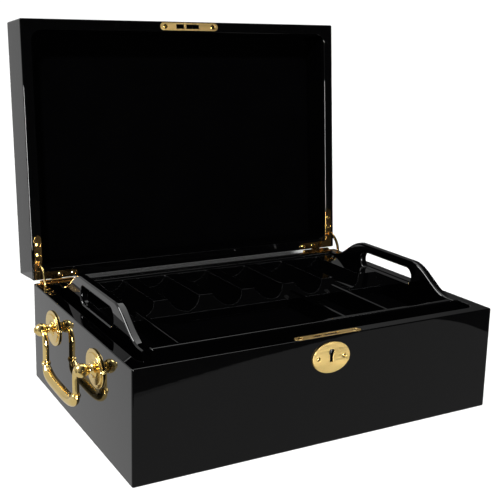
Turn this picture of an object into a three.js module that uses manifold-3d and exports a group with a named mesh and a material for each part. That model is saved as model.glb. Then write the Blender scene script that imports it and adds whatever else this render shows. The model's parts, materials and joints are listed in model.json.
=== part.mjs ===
// Poker chip case: a black lacquered box with a hinged lid, brass furniture and a lift-out tray of chip rows.
// Millimetres. X runs to the right, Y to the back and Z up; the origin is the middle of the underside.
// The lid stands open. Everything on the lid is drawn in the closed case and then swung about the hinge pins.
import * as THREE from 'three';
import { mergeVertices } from 'three/addons/utils/BufferGeometryUtils.js';
import Module from 'manifold-3d';

const wasm = await Module();
wasm.setup();

// ---- driving dimensions ----
const GAP = 0.3;                                  // clearance between pieces that touch
const PROUD = 1;                                  // how far a cutting tool reaches past the face that it cuts
const CASE = { width: 420, depth: 298, baseHeight: 113, lidHeight: 54, wall: 12.5 };
const PARTING_GAP = 0.15;                         // each half stands this far back from the parting plane
const PANEL = { bottom: 8, top: 12 };             // thickness of the bottom and of the lid's top
const FELT = { wall: 1.2, floor: 1.6, pad: 2.9, belowRim: 5, insideLid: 3 };
const OPEN_ANGLE = 95;                            // degrees that the lid swings from closed to its stop

const HINGE = {
  setBack: 2.4, barrel: 2.1, pin: 1.1, leaf: 1.8, arm: 8.7, sideArm: 52, backArm: 51.5, edge: 3.5,
  barrelFrom: 163, barrelTo: 200, lidKnuckle: 12.4, stay: 22, stayWidth: 4, stayThick: 1.9,
  staySpan: 58, stayHead: 4.2, headProud: 1.3, stayInset: 4.65,
  sideScrews: [41.1, 29.1], backScrews: [49, 33], screwInset: 4.5,
};
const SCREW = { head: 2.7, shank: 1.3, length: 9 };
const RECESS_FLOOR = 0.3;                         // air under a leaf or plate let into a board
const LOCK = {
  y: -143.1, keyZ: 96.4, caseHalf: 27, caseThick: 7, caseLow: 72, sheet: 1, inside: 2.2,
  plateLength: 78, plateWidth: 9.6, plateThick: 1.8, slots: [[-17.6, -7.4], [-4, 13]], slotWidth: 5, screwX: 32,
  crank: 6, crankPin: 1.5, crankStart: 30, camRadius: 8.2, camThick: 1.7, camBore: 2.2, keywayHalf: 1.2,
};
const BOLT = {
  thick: 2.3, halfWidth: 22, low: 79, shoulder: 103, tip: 112, travel: 6, tipRoom: 4,
  windowHalf: 3.4, windowLow: 83, windowHigh: 101,
  prongGap: 1,
};
const ESCUTCHEON = { width: 44, height: 32, thick: 1.5, z: 91, screwX: 15, screwHead: 1.8, headProud: 0.7 };
const KEYHOLE = { radius: 3.3, slot: 1.7, drop: 10 };
const HANDLE = {
  y: 9, z: 82, postSpacing: 132, standOff: 14.5, rosetteWidth: 48, rosetteHeight: 38, rosetteThick: 2,
  stud: 3, studDepth: 11, end: 2.2, wire: 3.4, grip: 5.5, drop: 44.4, legs: 97.4, gripStart: 34,
  endInner: 55, endOuter: 75, collar: 4.7, collarTop: 30.5, collarLength: 3,
};
const NUT = { flange: 7.5, flangeThick: 1.1, width: 5.2, thick: 3.4, sunk: 0.4, counterbore: 8, depth: 5 };
const TRAY = {
  halfWidth: 188.5, halfDepth: 121, bottom: 88, wallTop: 118, crownTop: 145, endThick: 9, wallThick: 6.5,
  floor: 4, crownFlat: 48, crownFoot: 111, slotLength: 96, slotHeight: 19, slotZ: 125.5,
};
const RACK = {
  rows: 6, pitch: 54, radius: 20.5, axisRise: 7.7, front: 6, belowWall: 1.7, rearLip: 5,
  noseDepth: 12, noseDrop: 15,
};
const DIVIDER = { thick: 5, top: 112, places: [-140.5, 49.5, 106] };
const LEDGE = { inner: 176, depthInner: 116, top: 87.7, height: 12 };
const LOWER_RACK = { halfWidth: 172, halfDepth: 112, top: 36, endWall: 5 };

// ---- places worked out from them ----
const halfW = CASE.width / 2;
const halfD = CASE.depth / 2;
const innerW = halfW - CASE.wall;
const innerD = halfD - CASE.wall;
const parting = CASE.baseHeight;
const caseTop = parting + CASE.lidHeight;
const hingeY = halfD + HINGE.setBack;
const stayX = innerW + HINGE.stayInset;
const feltTop = PANEL.bottom + GAP + FELT.floor;  // upper face of the floor felt
const rad = THREE.MathUtils.degToRad;

// ---- solids: three.js geometry, joined and cut as manifold solids ----
function toSolid(geometry) {
  const bare = geometry.clone();
  bare.deleteAttribute('normal');
  bare.deleteAttribute('uv');
  const merged = mergeVertices(bare, 1e-4);
  const vertProperties = new Float32Array(merged.attributes.position.array);
  const triVerts = new Uint32Array(merged.index.array);
  return new wasm.Manifold(new wasm.Mesh({ numProp: 3, vertProperties, triVerts }));
}

function toGeometry(solid) {
  const mesh = solid.getMesh();
  const geometry = new THREE.BufferGeometry();
  geometry.setAttribute('position', new THREE.BufferAttribute(new Float32Array(mesh.vertProperties), 3));
  geometry.setIndex(new THREE.BufferAttribute(new Uint32Array(mesh.triVerts), 1));
  return geometry;
}

function join(...pieces) {
  return toGeometry(pieces.map(toSolid).reduce((all, one) => all.add(one)));
}

function cut(piece, ...tools) {
  return toGeometry(tools.map(toSolid).reduce((left, tool) => left.subtract(tool), toSolid(piece)));
}

function mirrorX(geometry) {
  const copy = mergeVertices(geometry.clone().scale(-1, 1, 1));
  const order = copy.index.array;
  for (let i = 0; i < order.length; i += 3) [order[i], order[i + 1]] = [order[i + 1], order[i]];
  return copy;
}

// A piece drawn for the right-hand side, or its mirror image for the left.
function onSide(side, geometry) {
  return side > 0 ? geometry : mirrorX(geometry);
}

function block([x0, x1], [y0, y1], [z0, z1]) {
  const box = new THREE.BoxGeometry(x1 - x0, y1 - y0, z1 - z0);
  return box.translate((x0 + x1) / 2, (y0 + y1) / 2, (z0 + z1) / 2);
}

function extrude(shape, depth, curveSegments = 6) {
  return new THREE.ExtrudeGeometry(shape, { depth, bevelEnabled: false, curveSegments });
}

// An outline in X and Y raised from z0 to z1.
function plateZ(shape, z0, z1, segments) {
  return extrude(shape, z1 - z0, segments).translate(0, 0, z0);
}

// An outline in Y and Z run from x0 to x1.
function plateX(shape, x0, x1, segments) {
  const turn = new THREE.Matrix4().set(0, 0, 1, x0, 1, 0, 0, 0, 0, 1, 0, 0, 0, 0, 0, 1);
  return extrude(shape, x1 - x0, segments).applyMatrix4(turn);
}

// An outline in X and Z run from y0 to y1.
function plateY(shape, y0, y1, segments) {
  const turn = new THREE.Matrix4().set(1, 0, 0, 0, 0, 0, -1, y1, 0, 1, 0, 0, 0, 0, 0, 1);
  return extrude(shape, y1 - y0, segments).applyMatrix4(turn);
}

function rodX(radius, [x0, x1], y, z, sides = 12) {
  const rod = new THREE.CylinderGeometry(radius, radius, x1 - x0, sides).rotateZ(Math.PI / 2);
  return rod.translate((x0 + x1) / 2, y, z);
}

function rodY(radius, [y0, y1], x, z, sides = 12) {
  const rod = new THREE.CylinderGeometry(radius, radius, y1 - y0, sides);
  return rod.translate(x, (y0 + y1) / 2, z);
}

function rodZ(radius, [z0, z1], x, y, sides = 8) {
  const rod = new THREE.CylinderGeometry(radius, radius, z1 - z0, sides).rotateX(Math.PI / 2);
  return rod.translate(x, y, (z0 + z1) / 2);
}

// ---- outlines ----
function polygon(points) {
  return new THREE.Shape(points.map(([u, v]) => new THREE.Vector2(u, v)));
}

function oval(u, v, width, height) {
  return new THREE.Shape().absellipse(u, v, width / 2, height / 2, 0, 2 * Math.PI);
}

// A bar with round ends along the outline's first axis.
function roundBar(u, v, length, height) {
  const r = height / 2;
  const run = length / 2 - r;
  const bar = new THREE.Shape();
  bar.absarc(u + run, v, r, -Math.PI / 2, Math.PI / 2);
  bar.absarc(u - run, v, r, Math.PI / 2, 1.5 * Math.PI);
  return bar;
}

// Part of a ring about the hinge pin in Y and Z; angles start at straight forward and grow upward.
function pinArc(inner, outer, from, to, steps) {
  const at = (radius, degrees) => {
    const turn = rad(degrees);
    return [hingeY - radius * Math.cos(turn), parting + radius * Math.sin(turn)];
  };
  const angles = Array.from({ length: steps + 1 }, (_, i) => from + ((to - from) * i) / steps);
  return polygon([...angles.map((a) => at(outer, a)), ...angles.reverse().map((a) => at(inner, a))]);
}

// ---- finishes ----
const FINISH = {
  lacquer: { color: 0x0a0a0b, roughness: 0.08, metalness: 0 },
  felt: { color: 0x08080a, roughness: 0.95, metalness: 0 },
  brass: { color: 0xd9b45a, roughness: 0.2, metalness: 1 },
  steel: { color: 0x9a9a98, roughness: 0.35, metalness: 1 },
};

const caseGroup = new THREE.Group();

function place(name, finish, geometry, parent = caseGroup) {
  const mesh = new THREE.Mesh(geometry, new THREE.MeshStandardMaterial(FINISH[finish]));
  mesh.name = name;
  parent.add(mesh);
  return mesh;
}

// A group that swings about the hinge pins; its children are placed as in the closed case.
function hingeGroup(degrees) {
  const pivot = new THREE.Group();
  const closed = new THREE.Group();
  pivot.position.set(0, hingeY, parting);
  pivot.rotation.x = -rad(degrees);
  closed.position.set(0, -hingeY, -parting);
  pivot.add(closed);
  caseGroup.add(pivot);
  return closed;
}

const lidGroup = hingeGroup(OPEN_ANGLE);
const stayGroup = hingeGroup(OPEN_ANGLE / 2);

// ---- quadrant hinges: drawn on the right, with up = -1 in the base and +1 in the lid ----
const hingeScrewPlaces = [
  ...HINGE.sideScrews.map((fromBack) => [innerW + HINGE.screwInset, halfD - fromBack]),
  ...HINGE.backScrews.map((fromSide) => [halfW - fromSide, halfD - HINGE.screwInset]),
];

function rimBand(up, from, to) {
  return up > 0 ? [parting + from, parting + to] : [parting - to, parting - from];
}

// The L outline of a leaf; grow widens it for the recess that it lies in.
function leafOutline(grow) {
  const outer = halfW - HINGE.edge + grow;
  const inner = innerW + 0.2 - (grow ? 1.7 : 0);
  const back = halfD + (grow ? 1 : 0);
  const front = halfD - HINGE.arm - grow;
  const r = HINGE.arm / 2 + grow;
  const sideEnd = halfD - HINGE.sideArm + HINGE.arm / 2;
  const backEnd = outer - grow - HINGE.backArm + HINGE.arm / 2;
  const leaf = new THREE.Shape();
  leaf.moveTo(outer, back);
  leaf.lineTo(backEnd, back);
  leaf.absarc(backEnd, front + r, r, Math.PI / 2, 1.5 * Math.PI);
  leaf.lineTo(inner, front);
  leaf.lineTo(inner, sideEnd);
  leaf.absarc((inner + outer) / 2, sideEnd, (outer - inner) / 2, Math.PI, 2 * Math.PI);
  leaf.lineTo(outer, back);
  return leaf;
}

function leafRecess(up) {
  return plateZ(leafOutline(GAP), ...rimBand(up, -PROUD, PARTING_GAP + HINGE.leaf + RECESS_FLOOR));
}

// The curved pocket in a side board that the stay slides into, wide enough for the stay's head.
function stayPocket(up) {
  const { stay, stayWidth, staySpan, stayThick, headProud } = HINGE;
  const reach = stayWidth / 2 + 2 * GAP;
  const half = stayThick / 2 + headProud + 2 * GAP;
  const end = staySpan + 1.5;
  const [from, to] = up > 0 ? [0, end] : [-end, 0];
  return plateX(pinArc(stay - reach, stay + reach, from, to, 5), stayX - half, stayX + half);
}

function hingeScrewHoles(up, radius) {
  const depth = rimBand(up, -PROUD, SCREW.length + 2);
  return hingeScrewPlaces.map(([x, y]) => rodZ(radius, depth, x, y));
}

function hingeLeaf(up) {
  const { barrel, barrelFrom, barrelTo, lidKnuckle, leaf, stay, stayWidth, stayThick } = HINGE;
  const middle = (barrelFrom + barrelTo) / 2;
  const inside = [middle - lidKnuckle / 2, middle + lidKnuckle / 2];
  const knuckles = up > 0 ? [inside] : [[barrelFrom, inside[0] - GAP], [inside[1] + GAP, barrelTo]];
  const band = rimBand(up, PARTING_GAP, PARTING_GAP + leaf);
  const flat = plateZ(leafOutline(0), ...band);
  const fingers = knuckles.map((x) => block(x, [halfD - PROUD, hingeY], band));
  const barrels = knuckles.map((x) => rodX(barrel, x, hingeY, parting));
  const slotX = [stayX - stayThick / 2 - GAP, stayX + stayThick / 2 + GAP];
  const slotY = [hingeY - stay - stayWidth / 2 - GAP, hingeY - stay + stayWidth / 2 + GAP];
  const slot = block(slotX, slotY, rimBand(up, -PROUD, leaf + PROUD));
  const bore = rodX(HINGE.pin + GAP, [barrelFrom - PROUD, barrelTo + PROUD], hingeY, parting);
  return cut(join(flat, ...fingers, ...barrels), slot, bore, ...hingeScrewHoles(up, SCREW.head + GAP));
}

function hingePin() {
  const { pin, barrel, barrelFrom, barrelTo } = HINGE;
  const reach = GAP + 1.5;
  const ends = [[barrelFrom - reach, barrelFrom - GAP], [barrelTo + GAP, barrelTo + reach]];
  const heads = ends.map((x) => rodX(barrel - 0.2, x, hingeY, parting));
  return join(rodX(pin, [barrelFrom - 1, barrelTo + 1], hingeY, parting), ...heads);
}

function hingeStay() {
  const { stay, stayWidth, stayThick, staySpan, stayHead, headProud } = HINGE;
  const inner = stay - stayWidth / 2;
  const outer = stay + stayWidth / 2;
  const half = stayThick / 2;
  const arc = plateX(pinArc(inner, outer, -staySpan, staySpan, 18), stayX - half, stayX + half);
  const headX = [stayX - half - headProud, stayX + half + headProud];
  const ends = [[-staySpan, -staySpan + stayHead], [staySpan - stayHead, staySpan]];
  return join(arc, ...ends.map(([from, to]) => plateX(pinArc(inner, outer, from, to, 2), ...headX)));
}

for (const [side, hand] of [[1, 'right'], [-1, 'left']]) {
  place(`hinge_base_leaf_${hand}`, 'brass', onSide(side, hingeLeaf(-1)));
  place(`hinge_lid_leaf_${hand}`, 'brass', onSide(side, hingeLeaf(1)), lidGroup);
  place(`hinge_pin_${hand}`, 'brass', onSide(side, hingePin()));
  place(`hinge_stay_${hand}`, 'brass', onSide(side, hingeStay()), stayGroup);
}

// ---- box boards: the sides run full depth and the front and back sit between them ----
const hingeCuts = (up) => [leafRecess(up), stayPocket(up), ...hingeScrewHoles(up, SCREW.shank + GAP)];

// Holes through a side board for the studs of the handle, counterbored inside for their nuts.
function handleHoles() {
  return [-1, 1].flatMap((end) => {
    const y = HANDLE.y + (end * HANDLE.postSpacing) / 2;
    return [rodX(HANDLE.stud + GAP, [innerW - PROUD, halfW + PROUD], y, HANDLE.z),
      rodX(NUT.counterbore, [innerW - PROUD, innerW + NUT.depth], y, HANDLE.z, 16)];
  });
}

const baseBand = [0, parting - PARTING_GAP];
const lidBand = [parting + PARTING_GAP, caseTop];
const betweenSides = [-innerW + GAP, innerW - GAP];
const betweenBoards = [-innerD + GAP, innerD - GAP];
const sideBoard = (band) => block([innerW, halfW], [-halfD, halfD], band);
const backBoard = (band) => block(betweenSides, [innerD, halfD], band);
const frontBoard = (band) => block(betweenSides, [-halfD, -innerD], band);
const bothHinges = (up) => hingeCuts(up).flatMap((tool) => [tool, mirrorX(tool)]);

const baseSide = cut(sideBoard(baseBand), ...hingeCuts(-1), ...handleHoles());
const lidSide = cut(sideBoard(lidBand), ...hingeCuts(1));
for (const [side, hand] of [[1, 'right'], [-1, 'left']]) {
  place(`base_${hand}_side`, 'lacquer', onSide(side, baseSide));
  place(`lid_${hand}_side`, 'lacquer', onSide(side, lidSide), lidGroup);
}
place('base_back_board', 'lacquer', cut(backBoard(baseBand), ...bothHinges(-1)));
place('lid_back_rail', 'lacquer', cut(backBoard(lidBand), ...bothHinges(1)), lidGroup);
place('base_bottom_panel', 'lacquer', block(betweenSides, betweenBoards, [0, PANEL.bottom]));
place('lid_top_panel', 'lacquer',
  block(betweenSides, betweenBoards, [caseTop - PANEL.top, caseTop]), lidGroup);

// ---- felt inside the base and the lid ----
function feltWalls([z0, z1]) {
  const outside = block(betweenSides, betweenBoards, [z0, z1]);
  const wide = innerW - GAP - FELT.wall;
  const deep = innerD - GAP - FELT.wall;
  return cut(outside, block([-wide, wide], [-deep, deep], [z0 - PROUD, z1 + PROUD]));
}

const padTop = caseTop - PANEL.top - GAP;
const feltInsideW = innerW - FELT.wall - 2 * GAP;
const feltInsideD = innerD - FELT.wall - 2 * GAP;
const insideFelt = [[-feltInsideW, feltInsideW], [-feltInsideD, feltInsideD]];
place('base_wall_felt', 'felt', feltWalls([feltTop + GAP, parting - FELT.belowRim]));
place('base_floor_felt', 'felt', block(betweenSides, betweenBoards, [PANEL.bottom + GAP, feltTop]));
place('lid_wall_felt', 'felt', feltWalls([parting + FELT.insideLid, padTop]), lidGroup);
place('lid_pad', 'felt', block(...insideFelt, [padTop - FELT.pad, padTop]), lidGroup);

// ---- ledges that carry the tray ----
const ledgeBand = [LEDGE.top - LEDGE.height, LEDGE.top];
for (const [side, hand] of [[1, 'right'], [-1, 'left']]) {
  const ledge = block([LEDGE.inner, feltInsideW], [-feltInsideD, feltInsideD], ledgeBand);
  place(`tray_ledge_${hand}`, 'felt', onSide(side, ledge));
}
const ledgeAcross = [-LEDGE.inner + GAP, LEDGE.inner - GAP];
place('tray_ledge_front', 'felt', block(ledgeAcross, [-feltInsideD, -LEDGE.depthInner], ledgeBand));
place('tray_ledge_back', 'felt', block(ledgeAcross, [LEDGE.depthInner, feltInsideD], ledgeBand));

// ---- box lock in the front ----
// A keyhole outline in X and Z: a round top over a straight slot.
function keyhole(x, z, grow = 0) {
  const r = KEYHOLE.radius + grow;
  const half = KEYHOLE.slot + grow;
  const start = Math.asin(half / r);
  const hole = new THREE.Shape();
  hole.absarc(x, z, r, start - Math.PI / 2, 1.5 * Math.PI - start);
  hole.lineTo(x - half, z - KEYHOLE.drop - grow);
  hole.lineTo(x + half, z - KEYHOLE.drop - grow);
  return hole;
}

const lockHalf = LOCK.caseThick / 2;
const lockTop = parting - PARTING_GAP - LOCK.plateThick;

function lockPlateSlots(up) {
  const y = [LOCK.y - LOCK.slotWidth / 2, LOCK.y + LOCK.slotWidth / 2];
  const z = rimBand(up, -PROUD, LOCK.plateThick + PROUD);
  return LOCK.slots.map((x) => block(x, y, z));
}

function lockPlate(up) {
  const outline = roundBar(0, LOCK.y, LOCK.plateLength, LOCK.plateWidth);
  const plate = plateZ(outline, ...rimBand(up, PARTING_GAP, PARTING_GAP + LOCK.plateThick));
  const z = rimBand(up, -PROUD, LOCK.plateThick + PROUD);
  const holes = [-1, 1].map((end) => rodZ(SCREW.head + GAP, z, end * LOCK.screwX, LOCK.y));
  return cut(plate, ...lockPlateSlots(up), ...holes);
}

function lockPlateRecess(up) {
  const { plateLength, plateWidth, plateThick, screwX, y } = LOCK;
  const outline = roundBar(0, y, plateLength + 2 * GAP, plateWidth + 2 * GAP);
  const recess = plateZ(outline, ...rimBand(up, -PROUD, PARTING_GAP + plateThick + RECESS_FLOOR));
  const pilot = rimBand(up, 0, SCREW.length + 1);
  return [recess, ...[-1, 1].map((end) => rodZ(SCREW.shank + GAP, pilot, end * screwX, y))];
}

function lockPlateScrew(up, end) {
  const head = rimBand(up, PARTING_GAP + 0.1, PARTING_GAP + LOCK.plateThick);
  const shank = rimBand(up, 1, SCREW.length);
  const x = end * LOCK.screwX;
  return join(rodZ(SCREW.head, head, x, LOCK.y), rodZ(SCREW.shank, shank, x, LOCK.y));
}

function lockCase() {
  const { caseHalf, caseLow, sheet, y, keyZ } = LOCK;
  const shell = block([-caseHalf, caseHalf], [y - lockHalf, y + lockHalf], [caseLow, lockTop - GAP]);
  const room = block([-caseHalf + sheet, caseHalf - sheet], [y - lockHalf + sheet, y + lockHalf - sheet],
    [caseLow + sheet, lockTop + PROUD]);
  return cut(shell, room, plateY(keyhole(0, keyZ), y - lockHalf - PROUD, y - lockHalf + 1.5 * sheet));
}

// The bolt: a plate with two prongs, a window for the key and a slot for the cam's crank pin.
function lockBolt() {
  const { y, inside, keyZ, crank, crankPin, slots } = LOCK;
  const thick = [y - inside, y - inside + BOLT.thick];
  const through = [thick[0] - PROUD, thick[1] + PROUD];
  const pinZ = keyZ - crank / 2;
  const plate = block([-BOLT.halfWidth, BOLT.halfWidth], thick, [BOLT.low, BOLT.shoulder]);
  const prongs = slots.map(([x0, x1]) =>
    block([x0 + BOLT.prongGap, x1 - BOLT.prongGap], thick, [BOLT.shoulder - PROUD, BOLT.tip]));
  const window = block([-BOLT.windowHalf, BOLT.windowHalf], through, [BOLT.windowLow, BOLT.windowHigh]);
  const pinReach = crankPin + GAP;
  const pinSlot = block([0, crank + crankPin + 2 * GAP], through, [pinZ - pinReach, pinZ + pinReach]);
  return cut(join(plate, ...prongs), window, pinSlot);
}

// The cam that the key turns: a disc with a key slot and a crank pin that lifts the bolt.
function lockCam() {
  const { y, inside, keyZ, crank, crankPin, crankStart, camRadius, camThick, camBore, keywayHalf } = LOCK;
  const front = y + inside - camThick;
  const disc = rodY(camRadius, [front, front + camThick], 0, keyZ, 20);
  const pinX = crank * Math.cos(rad(crankStart));
  const pinZ = keyZ - crank * Math.sin(rad(crankStart));
  const pin = rodY(crankPin, [y - inside + 0.1, front + PROUD], pinX, pinZ, 10);
  const through = [front - PROUD, front + camThick + PROUD];
  const keyway = block([-keywayHalf, keywayHalf], through, [keyZ - 0.75 * camRadius, keyZ]);
  return cut(join(disc, pin), rodY(camBore, through, 0, keyZ, 10), keyway);
}

const mortise = block([-LOCK.caseHalf - GAP, LOCK.caseHalf + GAP],
  [LOCK.y - lockHalf - GAP, LOCK.y + lockHalf + GAP], [LOCK.caseLow - GAP, parting + PROUD]);
const boardKeyhole = plateY(keyhole(0, LOCK.keyZ), -halfD - PROUD, LOCK.y);
const escutcheonFace = -halfD - GAP - ESCUTCHEON.thick;
const escutcheonPilots = [-1, 1].map((end) =>
  rodY(SCREW.shank, [-halfD - PROUD, LOCK.y - lockHalf], end * ESCUTCHEON.screwX, ESCUTCHEON.z, 8));
place('base_front_board', 'lacquer',
  cut(frontBoard(baseBand), mortise, boardKeyhole, ...lockPlateRecess(-1), ...escutcheonPilots));
const boltPocket = block([LOCK.slots[0][0] - 1, LOCK.slots[1][1] + 1],
  [LOCK.y - LOCK.slotWidth / 2 - 0.5, LOCK.y + LOCK.slotWidth / 2 + 0.5],
  [parting, parting + BOLT.travel + BOLT.tipRoom]);
place('lid_front_rail', 'lacquer', cut(frontBoard(lidBand), boltPocket, ...lockPlateRecess(1)), lidGroup);

place('lock_case', 'steel', lockCase());
place('lock_face_plate', 'brass', lockPlate(-1));
place('lock_bolt', 'steel', lockBolt());
place('lock_cam', 'steel', lockCam());
place('strike_plate', 'brass', lockPlate(1), lidGroup);

function escutcheon() {
  const { width, height, z, screwX, screwHead } = ESCUTCHEON;
  const outline = oval(0, z, width, height);
  const plate = plateY(outline, escutcheonFace, -halfD - GAP, 14);
  const holes = [-1, 1].map((end) =>
    rodY(screwHead + GAP, [escutcheonFace - PROUD, -halfD], end * screwX, z));
  return cut(plate, plateY(keyhole(0, LOCK.keyZ), escutcheonFace - PROUD, -halfD), ...holes);
}

function escutcheonScrew(end) {
  const { screwX, z, screwHead, headProud } = ESCUTCHEON;
  const head = rodY(screwHead, [escutcheonFace - headProud, -halfD - GAP], end * screwX, z);
  const shank = rodY(SCREW.shank - GAP, [-halfD - PROUD, LOCK.y - lockHalf - 2 * GAP], end * screwX, z);
  return join(head, shank);
}

place('escutcheon', 'brass', escutcheon());
for (const [end, hand] of [[1, 'right'], [-1, 'left']]) {
  place(`escutcheon_screw_${hand}`, 'brass', escutcheonScrew(end));
  place(`lock_plate_screw_${hand}`, 'brass', lockPlateScrew(-1, end));
  place(`strike_plate_screw_${hand}`, 'brass', lockPlateScrew(1, end), lidGroup);
}

// ---- bail handles: drawn on the right ----
const bailX = halfW + HANDLE.standOff;
const postY = (end) => HANDLE.y + (end * HANDLE.postSpacing) / 2;

// A rosette cast with its turned post; the stud behind it goes through the side board.
function rosette(end) {
  const { z, rosetteWidth, rosetteHeight, rosetteThick, stud, studDepth, standOff, end: bailEnd } = HANDLE;
  const y = postY(end);
  const plate = plateX(oval(y, z, rosetteWidth, rosetteHeight), halfW + GAP, halfW + GAP + rosetteThick, 14);
  const profile = [[0, -studDepth], [stud, -studDepth], [stud, 1], [9, 1], [9, 3.2], [5, 5.4], [4.5, 8.2],
    [6.5, 11], [7, 14.5], [6.3, 18], [3.2, 20.6], [0, 21.8]];
  const post = new THREE.LatheGeometry(profile.map(([r, h]) => new THREE.Vector2(r, h)), 14);
  post.rotateZ(-Math.PI / 2).translate(halfW, y, z);
  const eye = rodY(bailEnd + GAP, [y - 9, y + 9], halfW + standOff, z);
  return cut(join(plate, post), eye);
}

function circle(radius, sides) {
  const turns = Array.from({ length: sides }, (_, i) => (2 * Math.PI * i) / sides);
  return polygon(turns.map((a) => [radius * Math.cos(a), radius * Math.sin(a)]));
}

// The bail: two ends through the posts, two legs with collars and a thicker grip across the bottom.
function bail() {
  const { y, z, end, wire, grip, gripStart, drop, legs, endInner, endOuter } = HANDLE;
  const { collar, collarTop, collarLength } = HANDLE;
  const leg = legs / 2;
  const half = [[57, 0], [53.5, -1.6], [50, -6], [leg, -13], [leg, -28], [leg - 2.5, -36], [leg - 10, -41.5],
    [leg - 26, -drop + 0.6], [0, -drop]];
  const mirrored = half.slice(0, -1).reverse().map(([u, w]) => [-u, w]);
  const path = (points) => new THREE.CatmullRomCurve3(
    points.map(([u, w]) => new THREE.Vector3(bailX, y + u, z + w)), false, 'centripetal');
  const tube = (points, radius, steps, sides) =>
    new THREE.ExtrudeGeometry(circle(radius, sides), { steps, extrudePath: path(points) });
  const all = [...half, ...mirrored];
  const thick = all.filter(([, w]) => w < -gripStart);
  const rearEnd = rodY(end, [y + endInner, y + endOuter], bailX, z);
  const frontEnd = rodY(end, [y - endOuter, y - endInner], bailX, z);
  const collarBand = [z - collarTop - collarLength, z - collarTop];
  const collars = [-1, 1].map((s) => rodZ(collar, collarBand, bailX, y + s * (leg - 0.6), 12));
  return join(tube(all, wire, 28, 8), tube(thick, grip, 12, 10), rearEnd, frontEnd, ...collars);
}

// The flanged nut that holds a rosette's stud, sunk in the inside of the board.
function handleNut(end) {
  const y = postY(end);
  const shoulder = innerW + NUT.sunk + NUT.thick;
  const flange = rodX(NUT.flange, [shoulder - 0.2, shoulder - 0.2 + NUT.flangeThick], y, HANDLE.z, 14);
  const nut = rodX(NUT.width, [innerW + NUT.sunk, shoulder], y, HANDLE.z, 6);
  const bore = rodX(HANDLE.stud + GAP, [innerW - PROUD, innerW + NUT.depth + PROUD], y, HANDLE.z);
  return cut(join(flange, nut), bore);
}

for (const [side, hand] of [[1, 'right'], [-1, 'left']]) {
  place(`handle_bail_${hand}`, 'brass', onSide(side, bail()));
  for (const [end, row] of [[-1, 'front'], [1, 'rear']]) {
    place(`handle_${row}_rosette_${hand}`, 'brass', onSide(side, rosette(end)));
    place(`handle_${row}_nut_${hand}`, 'steel', onSide(side, handleNut(end)));
  }
}

// ---- chip racks: blocks with half-round rows for chips on edge ----
// Cutting rods for the rows, whose axes lie above the rack's top.
function chipRows([y0, y1], top) {
  const first = -((RACK.rows - 1) / 2) * RACK.pitch;
  return Array.from({ length: RACK.rows }, (_, i) =>
    rodY(RACK.radius, [y0, y1], first + i * RACK.pitch, top + RACK.axisRise, 28));
}

function lowerRack() {
  const { halfWidth, halfDepth, top, endWall } = LOWER_RACK;
  const body = block([-halfWidth, halfWidth], [-halfDepth, halfDepth], [feltTop + GAP, top]);
  return cut(body, ...chipRows([-halfDepth + endWall, halfDepth - endWall], top));
}

place('lower_chip_rack', 'lacquer', lowerRack());

// ---- lift-out tray ----
const trayInside = TRAY.halfWidth - TRAY.endThick - GAP;
const trayDeep = TRAY.halfDepth - TRAY.wallThick - GAP;
const trayFloor = TRAY.bottom + TRAY.floor + GAP;

// An end board: level shoulders, an S-curve up to a flat crown and a hand slot under it.
function trayEnd() {
  const { halfWidth, halfDepth, endThick, bottom, wallTop, crownTop, crownFlat, crownFoot } = TRAY;
  const rise = Array.from({ length: 11 }, (_, i) => {
    const t = i / 10;
    const blend = (1 - Math.cos(Math.PI * t)) / 2;
    return [crownFoot + (crownFlat - crownFoot) * t, wallTop + (crownTop - wallTop) * blend];
  });
  const right = [[halfDepth, bottom], [halfDepth, wallTop], ...rise];
  const left = right.map(([y, z]) => [-y, z]).reverse();
  const board = plateX(polygon([...right, ...left]), halfWidth - endThick, halfWidth);
  const slot = roundBar(0, TRAY.slotZ, TRAY.slotLength, TRAY.slotHeight);
  return cut(board, plateX(slot, halfWidth - endThick - PROUD, halfWidth + PROUD));
}

// The rack: a block under the rear half with a sloping nose, cut by the rows.
function trayRack() {
  const top = TRAY.wallTop - RACK.belowWall;
  const rear = trayDeep - GAP;
  const side = polygon([[RACK.front, trayFloor], [rear, trayFloor], [rear, top],
    [RACK.front + RACK.noseDepth, top], [RACK.front, top - RACK.noseDrop]]);
  const body = plateX(side, -trayInside, trayInside);
  return cut(body, ...chipRows([RACK.front - PROUD, rear - RACK.rearLip], top));
}

for (const [side, hand] of [[1, 'right'], [-1, 'left']]) {
  place(`tray_${hand}_end`, 'lacquer', onSide(side, trayEnd()));
}
const trayWallBand = [TRAY.bottom, TRAY.wallTop];
const trayAcross = [-trayInside, trayInside];
place('tray_front_wall', 'lacquer',
  block(trayAcross, [-TRAY.halfDepth, -TRAY.halfDepth + TRAY.wallThick], trayWallBand));
place('tray_back_wall', 'lacquer',
  block(trayAcross, [TRAY.halfDepth - TRAY.wallThick, TRAY.halfDepth], trayWallBand));
place('tray_floor', 'felt',
  block(trayAcross, [-trayDeep, trayDeep], [TRAY.bottom, TRAY.bottom + TRAY.floor]));
place('tray_chip_rack', 'lacquer', trayRack());
DIVIDER.places.forEach((x, i) => {
  const half = DIVIDER.thick / 2;
  const divider = block([x - half, x + half], [-trayDeep + GAP, RACK.front - GAP], [trayFloor, DIVIDER.top]);
  place(`tray_divider_${i + 1}`, 'lacquer', divider);
});

export default caseGroup;
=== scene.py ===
"""The looks of the poker chip case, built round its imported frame. Lengths are metres and +Z is up.

Pieces of the lid and of the stays are drawn in the closed case and then swung to where they rest.
"""
import json
import math

import bmesh
import bpy
from mathutils import Matrix, Vector

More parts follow.
